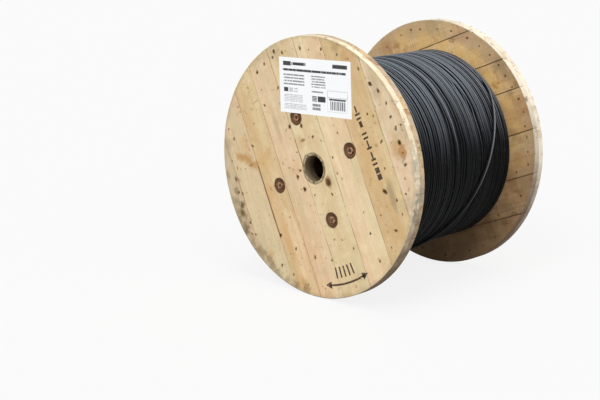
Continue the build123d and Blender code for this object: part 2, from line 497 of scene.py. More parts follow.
near_outer_blots = (
    (-328, -12, 17, 0.75, smear_tan), (-310, -13, 18, 0.75, smear_tan), (-292, -17, 18, 0.75, smear_tan),
    (-272, -24, 17, 0.75, smear_tan), (-252, -26, 16, 0.75, smear_tan),
    (-215, -12, 32, 0.40, orange_wood), (-200, 20, 14, 0.40, smear_tan),
    (-342, -128, 10, 0.60, stain_brown), (-345, -162, 18, 0.60, smoke_grey),
    (-340, -188, 20, 0.65, smoke_grey), (-318, -168, 11, 0.90, stain_brown),
    (-316, -191, 14, 0.95, stain_brown), (-302, -206, 14, 0.60, smoke_grey),
    (-326, -216, 18, 0.70, smoke_grey), (-298, -236, 18, 0.70, stain_brown),
    (-304, -254, 16, 0.80, stain_brown), (-277, -264, 14, 0.50, smoke_grey),
    (-270, -286, 17, 0.60, smoke_grey), (-244, -300, 18, 0.55, smoke_brown),
    (-222, -312, 18, 0.60, smoke_grey), (-198, -326, 20, 0.65, stain_brown),
    (-180, -345, 16, 0.65, smoke_grey), (-186, -306, 16, 0.35, smear_tan),
    (-150, -358, 14, 0.55, smoke_grey), (-112, -376, 14, 0.50, smoke_grey),
    (-70, -378, 18, 0.50, smoke_brown), (-40, -368, 18, 0.55, smear_tan),
    (-24, -384, 16, 0.60, smoke_brown), (60, -390, 18, 0.40, smear_tan), (140, -374, 20, 0.35, smear_tan),
    (-386, -80, 14, 0.55, smoke_grey), (-338, -88, 8, 0.50, stain_brown),
    (-376, 20, 16, 0.35, smoke_grey), (330, 116, 34, 0.45, orange_wood), (338, 106, 28, 0.30, rust_brown),
    (250, 190, 30, 0.25, smear_tan), (340, -120, 40, 0.30, smear_tan), (300, -240, 34, 0.25, smear_tan),
    (368, -50, 24, 0.35, smoke_grey), (130, 352, 28, 0.45, smear_tan), (88, 372, 20, 0.35, smoke_brown),
    (-170, 336, 30, 0.30, smoke_grey), (-58, 70, 20, 0.35, smear_tan), (-80, -20, 22, 0.30, smear_tan),
)
near_outer_cracks = {
    2: ((-0.072, 0.152, True),),
    3: ((-0.072, 0.152, False),),
    5: ((-0.100, 0.010, False),),
}
cream_rim = (tint(248, 236, 210), tint(234, 220, 190), tint(208, 176, 138), 0.8)
tan_rim = (tint(212, 184, 142), tint(194, 174, 148), tint(160, 116, 78), 0.6)
pale_rim = (tint(242, 232, 212), tint(228, 220, 198), tint(206, 188, 158), 0.25)

for number, (pale, warm) in enumerate(near_outer_tones, 1):
    pine(f"near_outer_board_{number}", near_outer_angle, pale, warm, 100 + number, cream_rim,
         near_outer_knots.get(number, ()), near_outer_smears.get(number, ()), near_outer_blots,
         near_outer_cracks.get(number, ()), stains=0.35)
for number in range(1, inner_board_count + 1):
    pine(f"near_inner_board_{number}", near_inner_angle, tint(214, 188, 146), tint(200, 164, 118),
         200 + number, tan_rim, rubbed=True)

far_inner_knots = {
    4: ((345, 36, 6),),
    3: ((352, -110, 8),),
    2: ((330, -190, 10),),
    6: ((60, 340, 7),),
}
far_inner_blots = (
    (-150, 318, 30, 0.55, gold_wood), (-60, 326, 34, 0.60, gold_wood), (20, 318, 34, 0.65, gold_wood),
    (90, 306, 34, 0.65, gold_wood), (150, 292, 30, 0.60, gold_wood), (-215, 292, 30, 0.50, rust_brown),
    (-170, 300, 14, 0.60, rust_brown), (215, 240, 30, 0.60, gold_wood), (240, 205, 30, 0.65, gold_wood),
    (236, 214, 8, 0.70, rust_brown), (250, 226, 6, 0.60, rust_brown), (280, 170, 26, 0.60, gold_wood),
    (262, 135, 22, 0.50, rust_brown), (300, 130, 24, 0.50, orange_wood), (252, 282, 30, 0.55, smoke_grey),
    (286, 252, 26, 0.45, smoke_grey), (314, 226, 14, 0.55, smoke_brown), (332, 170, 24, 0.60, pink_brown),
    (350, 140, 18, 0.50, pink_brown), (330, 86, 30, 0.45, gold_wood), (320, 30, 34, 0.45, gold_wood),
    (350, -20, 22, 0.45, gold_wood), (316, -40, 26, 0.50, orange_wood), (318, -100, 26, 0.55, pink_brown),
    (300, -128, 14, 0.55, rust_brown), (346, -110, 16, 0.50, rot_brown),
    (300, -175, 26, 0.40, smoke_grey), (262, -200, 18, 0.45, gold_wood), (290, -220, 20, 0.60, rot_brown),
    (230, -230, 30, 0.55, rot_brown), (316, 62, 24, 0.50, smoke_brown), (332, 2, 18, 0.45, rust_brown),
    (312, -70, 22, 0.50, smoke_brown), (345, 60, 16, 0.45, pink_brown), (298, 200, 16, 0.50, smoke_brown),
    (250, -270, 26, 0.40, smoke_grey), (160, -290, 40, 0.45, rot_brown),
    (120, -340, 40, 0.40, smoke_grey), (20, -350, 50, 0.45, rot_brown), (100, 362, 30, 0.35, pink_brown),
    (-20, 378, 30, 0.30, smoke_grey),
)
whole_joint = ((-flange_r, flange_r, True),)
for number in range(1, inner_board_count + 1):
    pine(f"far_inner_board_{number}", far_inner_angle, tint(236, 204, 150), tint(216, 174, 118),
         300 + number, pale_rim, far_inner_knots.get(number, ()), blots=far_inner_blots, cracks=whole_joint,
         rubbed=True, grime_and_shade=0.75, stains=0.3)


def nail_ring(rng, radius, count, start, spread, skip=0.0):
    """Nails in a ring, uneven in angle and radius, with a share of them left out. Each is x, z, its own
    radius and its darkness."""
    steps = start + (np.arange(count) + rng.uniform(-0.28, 0.28, count)) * 2 * pi / count
    reach = radius + rng.normal(0, spread, count)
    kept = rng.uniform(0, 1, count) >= skip
    size = rng.uniform(0.0014, 0.0022, count)
    darkness = rng.uniform(0.3, 0.95, count)
    return np.stack([reach * np.cos(steps), reach * np.sin(steps), size, darkness], 1)[kept]


def clear_of(nails, centre, gap):
    """The nails further than gap from a centre."""
    return nails[np.hypot(nails[:, 0] - centre[0], nails[:, 1] - centre[1]) > gap]


far_nail_rings = ((0.366, 38, 0.05, 0.006), (0.268, 20, 0.2, 0.016, 0.25), (0.205, 18, 0.1, 0.012, 0.2),
                  (0.105, 12, 0.3, 0.018, 0.1))
rng = np.random.default_rng(12)
far_nails = np.concatenate([nail_ring(rng, *ring) for ring in far_nail_rings])
for bolt_place in bolt_places:
    far_nails = clear_of(far_nails, bolt_place, recess_r + 0.007)
far_nails = clear_of(far_nails, (0.0, 0.0), bush_r + 0.008)
for number in range(1, outer_board_count + 1):
    pine(f"far_outer_board_{number}", far_outer_angle, tint(224, 198, 156), tint(212, 178, 134),
         400 + number, pale_rim, nails=far_nails[:, :3].tolist())


# Barrel staves
# Fourteen pine staves with bevelled sides make the barrel under the cable, and stand in grooves in the
# flanges. Only their insides can be seen, through the bore.
stave_count = 14
for number in range(1, stave_count + 1):
    node = f"barrel_stave_{number}"
    made, shader, place = new_material(node)
    grain = noise(stretched(place, 34.0, 1.6, 34.0), 1.0, 4.0, 0.6)
    fine = noise(stretched(place, 300.0, 9.0, 300.0), 1.0, 2.0)
    colour = layered(tint(206, 176, 132), ((grain, 0.38, 0.66, 1.0, tint(180, 142, 96)),
                                           (fine, 0.5, 0.8, 0.3, tint(142, 104, 64))))
    dress(shader, colour, 0.75, grain + fine * 0.5, 0.0004)
    cover(node, made)


# Nails
# Flat-headed wire nails that hold the crossed boards together, driven level with the wood. The wood round
# each is bruised and has darkened. Some are black with rust, others hardly show.
def discs(centres, y_rim, y_front, y_back, sides):
    """Shallow closed lenses, one at each centre (x, z, radius, stretch, turn): a rim at y_rim and a point
    at y_front and y_back. The rim's corners are centre + radius (stretch cos t, sin t), turned."""
    steps = np.arange(sides) * 2 * pi / sides
    middle_x, middle_z, radius, stretch, turn = (column[:, None] for column in centres.T)
    rim_x, rim_z = turned_to(radius * stretch * np.cos(steps), radius * np.sin(steps), -turn)
    points = np.empty((len(centres), sides + 2, 3))
    points[:, :, 0] = middle_x
    points[:, :, 2] = middle_z
    points[:, :sides, 0] += rim_x
    points[:, :sides, 1] = y_rim
    points[:, :sides, 2] += rim_z
    points[:, sides:, 1] = (y_front, y_back)
    ring = np.arange(sides)
    after = (ring + 1) % sides
    towards_front = np.stack([ring, after, np.full(sides, sides)], 1)
    towards_back = np.stack([after, ring, np.full(sides, sides + 1)], 1)
    if y_front > y_back:
        towards_front, towards_back = towards_front[:, ::-1], towards_back[:, ::-1]
    first = np.arange(len(centres))[:, None, None] * (sides + 2)
    faces = np.concatenate([towards_front, towards_back])[None] + first
    return points.reshape(-1, 3), faces.reshape(-1, 3)


def mesh_piece(name, points, faces, made, smooth=False):
    """A new piece from arrays of points and faces, facing outwards, on the drum's one body."""
    mesh = bpy.data.meshes.new(name)
    mesh.from_pydata(np.asarray(points).tolist(), [], [list(face) for face in faces])
    mesh.polygons.foreach_set("use_smooth", np.full(len(mesh.polygons), smooth))
    mesh.materials.append(made)
    mesh.update()
    piece = bpy.data.objects.new(name, mesh)
    bpy.context.scene.collection.objects.link(piece)
    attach(piece, "root")
    return piece


def carry(piece, name, values):
    """Put a number on each point of a piece's mesh."""
    layer = piece.data.attributes.new(name, "FLOAT", "POINT")
    layer.data.foreach_set("value", np.asarray(values, np.float32).ravel())


def carried(place, name):
    """The number that a piece's mesh carries at a place."""
    return place.node("Attribute", {"attribute_name": name}, {}, 2)


near_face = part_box("near_outer_board_5")[0].y
near_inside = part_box("near_inner_board_4")[1].y
far_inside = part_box("far_inner_board_4")[0].y
far_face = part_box("far_outer_board_5")[1].y

black_nails = ((-170, 337), (-103, 114), (-53, 124), (-68, -36), (-38, -70), (-143, -235), (223, 282),
               (-244, 266), (338, 127), (286, -24))
plain_nails = ((-135, 338), (-175, 319), (-213, 295), (-152, 228), (-59, 358), (-212, 167), (-352, 42),
               (-266, 31), (-4, 97), (28, 363), (93, 354), (177, 321), (254, 266), (286, 234), (214, 194),
               (303, 196), (342, 178), (323, 167), (361, 66), (284, 44), (78, 45), (270, 121), (-57, -15),
               (-332, -129), (-315, -130), (-281, -219), (-255, -253), (-75, -265), (-136, -330), (-85, -350),
               (77, -67), (-345, -87), (166, -217), (7, -276), (78, -272), (232, -159), (271, -235),
               (332, -42), (330, -132), (365, -18))
faint_nails = ((-225, 214), (-286, 212), (-332, 146), (-260, 103), (-71, 40), (-23, 357), (136, 345),
               (238, 190), (352, 99), (361, 26), (30, 90), (97, 123), (97, 0), (-105, -14), (-337, -51),
               (-272, -254), (117, -13), (5, -81), (119, -200), (86, -205), (204, -101), (271, -97),
               (354, -80), (315, -185), (-20, -368), (52, -366), (-362, -30), (-377, 70))
rng = np.random.default_rng(11)
near_nails = np.concatenate([
    np.column_stack([np.array(places) * mm, np.full((len(places), 2), (size, darkness))])
    for places, size, darkness in ((black_nails, 0.0029, 0.95), (plain_nails, 0.0021, 0.55),
                                   (faint_nails, 0.0016, 0.2))])
near_nails[:, 2:] *= rng.uniform(0.85, 1.15, (len(near_nails), 2))

far_inside_places = ((-215, 293), (-154, 338), (-112, 359), (-73, 364), (-2, 371), (56, 370), (121, 353),
                     (170, 332), (212, 308), (248, 280), (275, 248), (303, 217), (329, 182), (350, 144),
                     (357, 101), (366, 68), (372, 21), (375, -18), (352, -122), (302, -221), (256, -274))
seen_count = len(far_inside_places)
seen_from, seen_to = -52, 130
hidden_nails = nail_ring(rng, 0.373, 44, 0.0, 0.0022)
hidden_angle = np.degrees(np.arctan2(hidden_nails[:, 1], hidden_nails[:, 0]))
hidden_nails = hidden_nails[(hidden_angle < seen_from) | (hidden_angle > seen_to)]
far_inside_nails = np.concatenate([
    np.column_stack([np.array(far_inside_places) * mm, rng.uniform(0.0014, 0.0019, seen_count),
                     rng.uniform(0.35, 0.75, seen_count)]),
    hidden_nails, nail_ring(rng, 0.336, 14, 0.3, 0.006, 0.75)])
near_inside_nails = np.concatenate([nail_ring(rng, 0.372, 42, 0.07, 0.0030),
                                    nail_ring(rng, 0.338, 14, 0.1, 0.006, 0.6)])

nail_material, shader, place = new_material("nail_steel")
rust = noise(place, 150.0)
nail_colour = over(carried(place, "darkness"), tint(146, 112, 62), tint(50, 34, 12))
nail_colour = layered(nail_colour, ((rust, 0.4, 0.65, 0.4, tint(92, 62, 26)),))
dress(shader, nail_colour, 0.85, rust, 0.0003, shine=0.1)

bruise_material, shader, place = new_material("nail_bruise")
ragged = carried(place, "nearness") + wobble(place, 170.0, 0.8)
dress(shader, bruise_brown, 0.9, shine=0.1, alpha=fade(ragged, 0.10, 1.0, 0.75))

nail_proud = 0.00005
nail_crown = 0.00015
nail_depth = 0.004
stain_lift = 0.00002
stain_thk = 0.00001
stain_spread = 3.2
head_sides = 10
stain_sides = 12
for name, nails, angle, face, side in (
        ("near_face", near_nails, near_outer_angle, near_face, -1),
        ("near_inner_face", near_inside_nails, near_inner_angle, near_inside, 1),
        ("far_inner_face", far_inside_nails, far_inner_angle, far_inside, -1)):
    grain = np.full(len(nails), radians(angle)) + rng.normal(0, 0.5, len(nails))
    spots = np.column_stack([nails[:, :3], rng.uniform(1.0, 1.7, len(nails)), grain])
    points, faces = discs(spots, face + side * nail_proud, face + side * (nail_proud + nail_crown),
                          face - side * nail_depth, head_sides)
    heads = mesh_piece(f"{name}_nails", points, faces, nail_material)
    carry(heads, "darkness", np.repeat(np.clip(nails[:, 3], 0, 1), head_sides + 2))
    spots[:, 2] *= stain_spread
    points, faces = discs(spots, face + side * stain_lift, face + side * (stain_lift + stain_thk),
                          face + side * (stain_lift - stain_thk), stain_sides)
    stains = mesh_piece(f"{name}_nail_stains", points, faces, bruise_material)
    nearness = np.zeros((len(spots), stain_sides + 2))
    nearness[:, stain_sides:] = np.clip(0.55 + 0.5 * nails[:, 3:4], 0, 1)
    carry(stains, "nearness", nearness)


# Spindle bushes
# Short lengths of drawn steel tube pressed into the flanges. The spindle has rubbed the bore dull and
# scuffed grey-brown, and the cut end bright.
for node, end in (("near_bore_bush", near_face), ("far_bore_bush", far_face)):
    made, shader, place = new_material(node)
    wear = noise(place, 40.0, 4.0, 0.6)
    rust = noise(stretched(place, 1.0, 0.3, 1.0), 60.0, 4.0, 0.65)
    depth = abs(parts(place)[1] - end)
    lip = layered(tint(184, 168, 130), ((noise(place, 90.0), 0.42, 0.56, 1.0, tint(98, 84, 58)),))
    # Painted shade: the bore grows darker further in from the cut end.
    colour = layered(tint(140, 124, 98), (
        (depth, 0.004, 0.036, 1.0, tint(78, 66, 48)),
        (wear, 0.42, 0.68, 0.5, tint(116, 98, 70)),
        (rust, 0.56, 0.72, 0.5, tint(104, 76, 46)),
        (depth, 0.0022, 0.0006, 1.0, lip)))
    dress(shader, colour, 0.5 + wear * 0.25, wear, 0.0003, metal=0.15)
    cover(node, made)


# Tie bolts, nuts and washers
# Plain mild-steel bolts drawn up against big dished washers, which are pressed from plate and sit with their
# rims level with the boards. All of it is bare and rusty, and the nuts' corners are worn light.
washer_profile = ((0.0226, 0.0010), (0.0218, 0.0003), (0.0206, 0.0006), (0.0150, 0.0058), (0.0125, 0.0072),
                  (0.0085, 0.0074), (0.0085, 0.0098), (0.0130, 0.0096), (0.0162, 0.0080), (0.0218, 0.0026))
# Each row's share of a washer's lighter middle. Where it is low, at the rim and underneath, the washer is
# painted darker, partly shade and partly dirty.
washer_shade = (0.0, 0.0, 0.1, 0.9, 1.0, 1.0, 0.0, 0.0, 0.0, 0.0)
washer_steps = 40


def closed_grid(rows, columns):
    """Four-sided faces over a grid of points that closes on itself both ways."""
    index = np.arange(rows * columns).reshape(rows, columns)
    down = np.roll(index, -1, 0)
    return np.stack([index, np.roll(index, -1, 1), np.roll(down, -1, 1), down], -1).reshape(-1, 4)


def turned_ring(profile, steps, centre, face, side):
    """Points and faces of a closed ring: a profile of radius and depth below a face, carried round a
    centre. The point at angle t is centre + radius (cos t, sin t), and side is the way the face looks."""
    angle = np.arange(steps) * 2 * pi / steps
    radius, depth = (column[:, None] for column in np.array(profile).T)
    points = np.stack([centre[0] + radius * np.cos(angle), face - side * np.repeat(depth, steps, 1),
                       centre[1] + radius * np.sin(angle)], -1)
    faces = closed_grid(len(profile), steps)
    return points.reshape(-1, 3), faces if side > 0 else faces[:, ::-1]


made, shader, place = new_material("rusted_steel")
patch = noise(place, 55.0, 4.0, 0.6)
fleck = noise(place, 220.0)
# Partly painted shade, partly dirty: the washers are darker at their rims, beside the gap to the wood, and
# underneath, and lighter in their dished middles.
colour = layered(tint(106, 68, 40), (
    (patch, 0.38, 0.62, 1.0, tint(128, 84, 52)),
    (carried(place, "middle") + (patch - 0.5) * 0.5, 0.55, 0.15, 0.75, tint(70, 46, 22)),
    (fleck, 0.52, 0.66, 0.5, tint(66, 42, 22))))
dress(shader, colour, 0.55 + patch * 0.3, fleck, 0.0004, 0.8, metal=0.15)

points, faces = [], []
for face, side in ((near_face, -1), (far_face, 1)):
    for bolt_place in bolt_places:
        ring_points, ring_faces = turned_ring(washer_profile, washer_steps, bolt_place, face, side)
        faces.append(ring_faces + sum(len(block) for block in points))
        points.append(ring_points)
washers = mesh_piece("dished_washers", np.concatenate(points), np.concatenate(faces), made, True)
carry(washers, "middle", np.tile(np.repeat(washer_shade, washer_steps), 2 * bolt_count))
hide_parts("bolt_washers")

made, shader, place = new_material("worn_nut_steel")
patch = noise(place, 120.0)
colour = layered(tint(186, 148, 112), ((patch, 0.40, 0.58, 1.0, tint(118, 82, 52)),))
dress(shader, colour, 0.5, patch, 0.0003, metal=0.2)
cover("tie_nuts", made)

made, shader, place = new_material("bolt_end_steel")
patch = noise(place, 90.0)
bands = {"wave_type": "BANDS", "bands_direction": "Y"}
thread = place.node("TexWave", bands, {"Vector": place, "Scale": 175.0})
colour = layered(tint(112, 80, 52), ((patch, 0.4, 0.6, 1.0, tint(72, 46, 28)),))
dress(shader, colour, 0.5, thread, 0.0006, metal=0.3)
for number in range(1, bolt_count + 1):
    cover(f"tie_bolt_{number}", made)


# Cable winding
# One long black cable, laid turn beside turn, each turn round in section. The turns wander, so that dark
# gaps open and close between them, and some ride a little higher than their neighbours.
cable_r = 0.00425
winding_low, winding_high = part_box("cable_winding")
proudest = 0.0008
winding_top = winding_high.x - proudest
winding_bore = 0.2003
turn_count = 56
steps_round = 176
turn_profile = np.radians((-84, -62, -40, -20, 0, 20, 40, 62, 84))

# The slack between the turns is shared out by weight. Each line of gaps has its weight and its course
# round the drum: degrees, and millimetres along the spindle.
gap_lines = (
    (5.0, ((85, -262), (30, -262))), (4.0, ((60, -150), (20, -150))), (3.0, ((60, -137), (10, -137))),
    (4.5, ((75, -119), (20, -116))), (5.5, ((85, -103), (15, -104))), (7.0, ((90, -84), (10, -86))),
    (3.0, ((70, -66), (10, -64))), (5.0, ((80, -52), (55, -48), (38, -42), (28, -41))),
    (6.0, ((95, -16), (60, -14), (40, -11), (20, -2), (0, 1))), (6.0, ((68, 2), (45, 1))),
    (2.0, ((50, 21), (5, 20))), (2.0, ((42, 30), (12, 28))),
    (7.5, ((95, 43), (70, 40), (50, 38), (20, 42), (-10, 44))), (2.0, ((50, 68), (15, 75))),
    (2.5, ((60, 92), (30, 93))), (9.0, ((54, 106), (40, 117), (28, 127))),
    (6.5, ((90, 138), (55, 132), (35, 130), (10, 136))), (4.0, ((70, 149), (25, 145))),
    (5.0, ((66, 181), (40, 187), (20, 189))), (5.0, ((85, 208), (60, 207), (15, 205))),
    (3.5, ((80, 224), (0, 222))), (5.0, ((75, 240), (40, 240), (15, 247))),
)
plain_gap = 0.12
line_spread = 0.0048
line_rest = 0.4
line_ease = 9
gap_unevenness = 0.35

# From each of these turns on, the turns stand proud by so much. Some are sunk instead.
proud_turns = ((0, 0.0003), (12, 0.0004), (19, 0.0), (23, 0.0006), (27, 0.0002), (32, proudest), (38, 0.0),
               (42, 0.0005), (48, 0.0002), (54, 0.0))
sink_most = 0.0007
sunk_count = 11
sunk_depth = 0.0014
rise_and_fall = 0.0004
shadow_least = 0.85
shadow_by_gap = 800
floor_below = 0.0005
floor_drop = 1.2
widest_counted = 0.004
end_step_r = 0.27
rng = np.random.default_rng(5)


def slow_waves(rows, columns, harmonics):
    """Smooth random curves round the drum, one to a row: sums of a few whole waves, about -1 to 1."""
    turn = np.arange(columns) * 2 * pi / columns
    wave = np.arange(1, harmonics + 1)
    size = rng.normal(0, 1, (rows, harmonics)) / np.sqrt(wave)
    phase = rng.uniform(0, 2 * pi, (rows, harmonics))
    curves = (size[:, :, None] * np.sin(wave[None, :, None] * turn + phase[:, :, None])).sum(1)
    return curves / np.abs(curves).max()


# Across the winding: the turns' middles, with what slack they leave in the gaps between them.
winding_width = winding_high.y - winding_low.y
nominal = winding_low.y + np.arange(turn_count + 1) * winding_width / turn_count
slack = winding_width - turn_count * 2 * cable_r
round_turn = np.arange(steps_round) * 2 * pi / steps_round
round_degrees = (np.degrees(round_turn) + 180) % 360 - 180
gap = np.full((turn_count + 1, steps_round), plain_gap)
for line_weight, line_places in gap_lines:
    line_angles, line_ys = np.array(sorted(line_places), float).T
    line_middle = np.interp(round_degrees, line_angles, line_ys, period=360) * mm
    inside = np.minimum(round_degrees - line_angles[0], line_angles[-1] - round_degrees)
    line_size = line_weight * np.clip(0.5 + inside / line_ease, line_rest, 1)
    gap += line_size * np.exp(-((nominal[:, None] - line_middle) / line_spread) ** 2)
gap *= 1 + gap_unevenness * slow_waves(turn_count + 1, steps_round, 6)
gap *= slack / gap.sum(0)
centre_y = winding_low.y + np.cumsum(gap, 0)[:-1] + cable_r * (2 * np.arange(turn_count)[:, None] + 1)

# Out from the spindle: each turn's own height, with slow rises and falls.
proud = np.zeros(turn_count)
for first_turn, height in proud_turns:
    proud[first_turn:] = height
sink = rng.uniform(0, sink_most, turn_count)
sink[rng.choice(turn_count, sunk_count, replace=False)] += sunk_depth
uneven = rise_and_fall * (1 + slow_waves(turn_count, steps_round, 6))
centre_r = winding_top - cable_r + (proud - sink)[:, None] - uneven

# The rows of points: each turn's section, then the floor of the gap behind it.
rows_y = centre_y[:, None] + cable_r * np.sin(turn_profile)[:, None]
rows_r = centre_r[:, None] + cable_r * np.cos(turn_profile)[:, None]
floor_y = np.full((turn_count, 1, steps_round), winding_high.y)
floor_y[:-1, 0] = (centre_y[1:] + centre_y[:-1]) / 2
floor_r = np.empty((turn_count, 1, steps_round))
floor_r[:-1, 0] = np.minimum(centre_r[1:], centre_r[:-1]) - floor_below
floor_r[:-1, 0] -= np.clip(gap[1:-1], 0, widest_counted) * floor_drop
floor_r[-1, 0] = centre_r[-1] - cable_r
rows_y = np.concatenate([rows_y, floor_y], 1).reshape(-1, steps_round)
rows_r = np.concatenate([rows_r, floor_r], 1).reshape(-1, steps_round)
ends_y = np.array((winding_high.y, winding_high.y, winding_low.y, winding_low.y, winding_low.y))[:, None]
ends_r = np.array((end_step_r, winding_bore, winding_bore, end_step_r, winding_top - 2 * cable_r))[:, None]
rows_y = np.concatenate([rows_y, np.repeat(ends_y, steps_round, 1)])
rows_r = np.concatenate([rows_r, np.repeat(ends_r, steps_round, 1)])


def sheath(name, black, dust_and_sheen, dust_and_sheen_share, in_layers):
    """Black cable sheath: satin plastic, pale where it faces up, partly because it is dusty there and partly
    from a painted sheen of the light from above. In layers, each turn has its own share of that pale colour,
    and painted shade keeps the bottoms of the gaps and the flanks beside them dull and black."""
    made, shader, place = new_material(name)
    cloud = noise(place, 9.0, 4.0, 0.6)
    scuff = noise(stretched(place, 60.0, 260.0, 60.0), 1.0, 3.0, 0.6)
    level = parts(place)[2] + (cloud - 0.5) * 0.05
    gloss = 0.34 + cloud * 0.14
    tone = carried(place, "tone")
    if in_layers:
        # Painted shade: the depth each point carries turns the black near-black and keeps the pale colour off
        # the gaps and their flanks.
        gap_shade = carried(place, "depth")
        dust_and_sheen_mask = fade(level + (tone - 0.6) * 0.14, 0.04, 0.30, dust_and_sheen_share) * (0.35 + tone * 0.75)
        dust_and_sheen_mask = dust_and_sheen_mask * fade(gap_shade, 0.60, 0.06)
        black = layered(black, ((gap_shade, 0.20, 0.65, 1.0, tint(4, 4, 5)),))
        gloss = gloss + fade(gap_shade, 0.20, 0.7, 0.5)
    else:
        # Painted highlight on a single turn: pale on the side that faces out, by the tone it carries, and
        # more so higher up.
        dust_and_sheen_mask = fade(level, -0.22, 0.26) * fade(tone, 0.60, 1.0, dust_and_sheen_share)
    colour = layered(over(dust_and_sheen_mask, black, dust_and_sheen), ((scuff, 0.58, 0.74, 0.12, tint(110, 114, 120)),))
    dress(shader, colour, gloss, scuff, 0.0002, 0.4, shine=0.15)
    shader.inputs["Specular Tint"].default_value = (0.88, 0.95, 1.0, 1.0)
    return made


points = np.stack([rows_r * np.cos(round_turn), rows_y, rows_r * np.sin(round_turn)], -1).reshape(-1, 3)
# Painted sheen and dusty film: the winding's pale grey-blue grows towards the top of the drum, standing
# partly for the light from above.
winding_sheath = sheath("cable_sheath", tint(15, 15, 16), tint(112, 119, 127), 1.0, True)
winding = mesh_piece("wound_cable", points, closed_grid(len(rows_r), steps_round), winding_sheath, True)
tone = 0.45 + rng.uniform(0, 0.5, (turn_count, 1)) + 0.25 * slow_waves(turn_count, steps_round, 5)
tone = np.repeat(np.clip(tone, 0, 1), len(turn_profile) + 1, 0)
# Painted shade for the gaps: each point of a turn carries a depth that grows on its flanks and with the width
# of the gap beside it; the gaps' floors and the ends carry the most.
gap_beside = np.where(turn_profile[:, None] < 0, gap[:-1, None], gap[1:, None])
flank = (1 - np.cos(turn_profile))[:, None]
depth = np.clip(flank * (shadow_least + shadow_by_gap * gap_beside), 0, 1)
depth = np.concatenate([depth, np.ones((turn_count, 1, steps_round))], 1).reshape(-1, steps_round)
carry(winding, "tone", np.concatenate([tone, np.zeros((len(ends_y), steps_round))]))
carry(winding, "depth", np.concatenate([depth, np.ones((len(ends_y), steps_round))]))
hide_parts("cable_winding")


# Crossing turn
# The last turn of the same cable. It climbs out of the layer beside the far flange, then lies slantwise over
# the other turns to the near flange, where its end is tucked down.
crossing_lift = 0.0003
crossing_r = winding_top + proudest + cable_r + crossing_lift
lead_start = radians(95)
climb_start = radians(56)
climb_end = radians(38)
crossing_start = radians(45)
crossing_sweep = radians(-210)
leave_ease = radians(11)
tuck_length = radians(14)
sink_turns = 2.2
dull_end = radians(10)
lead_dull = 0.22
crossing_steps = 360
crossing_sides = 14
crossing_clearance = 0.0005
crossing_end_y = far_inside - crossing_clearance - cable_r

# The line runs straight beside the flange, bends away over leave_ease, and slants to the near flange. The
# bend is the curve log(1 + exp t), which is 0 far before the start and t far after it.
round_line = np.linspace(lead_start, crossing_start + crossing_sweep, crossing_steps)
crossed = np.logaddexp(0, (crossing_start - round_line) / leave_ease) * leave_ease
line_y = np.maximum(crossing_end_y * (1 + 2 * crossed / crossing_sweep), -crossing_end_y)
climb = np.clip((round_line - climb_end) / (climb_start - climb_end), 0, 1)
tuck = np.clip(1 - (round_line - round_line[-1]) / tuck_length, 0, 1)
line_r = crossing_r - sink_turns * cable_r * (climb + tuck) ** 2 * (3 - 2 * (climb + tuck))
line = np.stack([line_r * np.cos(round_line), line_y, line_r * np.sin(round_line)], -1)
ahead = np.gradient(line, axis=0)
ahead /= np.linalg.norm(ahead, axis=1)[:, None]
out = np.stack([np.cos(round_line), np.zeros_like(round_line), np.sin(round_line)], -1)
side = np.cross(ahead, out)
side /= np.linalg.norm(side, axis=1)[:, None]
out = np.cross(side, ahead)
section = (np.arange(crossing_sides) * 2 * pi / crossing_sides)[:, None]
tube = line[:, None] + cable_r * (np.cos(section) * out[:, None] + np.sin(section) * side[:, None])
points = np.concatenate([tube.reshape(-1, 3), line[:1], line[-1:]])
index = np.arange(crossing_steps * crossing_sides).reshape(crossing_steps, crossing_sides)
nearby = np.roll(index, -1, 1)
walls = np.stack([index[:-1], nearby[:-1], nearby[1:], index[1:]], -1).reshape(-1, 4)
first, last = len(points) - 2, len(points) - 1
caps = [(first, after, before) for before, after in zip(index[0], nearby[0])]
caps += [(last, before, after) for before, after in zip(index[-1], nearby[-1])]
# The pale colour of the crossing turn is a painted highlight.
crossing_sheath = sheath("crossing_sheath", tint(18, 18, 20), tint(158, 163, 168), 0.9, False)
crossing = mesh_piece("crossing_cable_turn", points, walls.tolist() + caps, crossing_sheath, True)
# Painted highlight: the tone is lightest on the side of the turn that faces out, and weaker by lead_dull from
# dull_end up to where the climb starts.
dull = np.clip((round_line - dull_end) / (climb_start - dull_end), 0, 1)
outward_highlight = np.outer(1 - lead_dull * dull, np.clip(np.cos(section), 0, 1))
carry(crossing, "tone", np.append(outward_highlight, (0.0, 0.0)))
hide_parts("cable_crossing_turn")


# Paper label
# A sheet of white paper stapled to the near flange near its rim. It lies in faint waves, and has plain ruled
# print in black and grey.
label_w = 0.295
label_h = 0.168
label_x = 0.003
label_z = flange_r - 0.153
label_tilt = radians(2.5)
label_back = near_face - 0.00003
label_front = near_face - 0.00012
label_wave = 0.00010
columns, rows = 60, 34
grid_u, grid_v = np.meshgrid(np.linspace(0, 1, columns), np.linspace(0, 1, rows))
tilted_x, tilted_z = turned_to((grid_u - 0.5) * label_w, (grid_v - 0.5) * label_h, -label_tilt)
sheet_x = label_x + tilted_x
sheet_z = label_z + tilted_z
ripple = 0.5 + 0.25 * np.sin(9 * grid_u + 2 * grid_v) + 0.25 * np.sin(5 * grid_v - 4 * grid_u + 1)
front = np.stack([sheet_x, label_front - label_wave * ripple, sheet_z], -1).reshape(-1, 3)
back = np.stack([sheet_x, np.full_like(sheet_x, label_back), sheet_z], -1).reshape(-1, 3)
index = np.arange(rows * columns).reshape(rows, columns)
quads = np.stack([index[:-1, :-1], index[:-1, 1:], index[1:, 1:], index[1:, :-1]], -1).reshape(-1, 4)
edge = np.concatenate([index[0, :-1], index[:-1, -1], index[-1, :0:-1], index[:0:-1, 0]])
after = np.roll(edge, -1)
count = rows * columns
edge_faces = np.stack([edge, edge + count, after + count, after], -1)
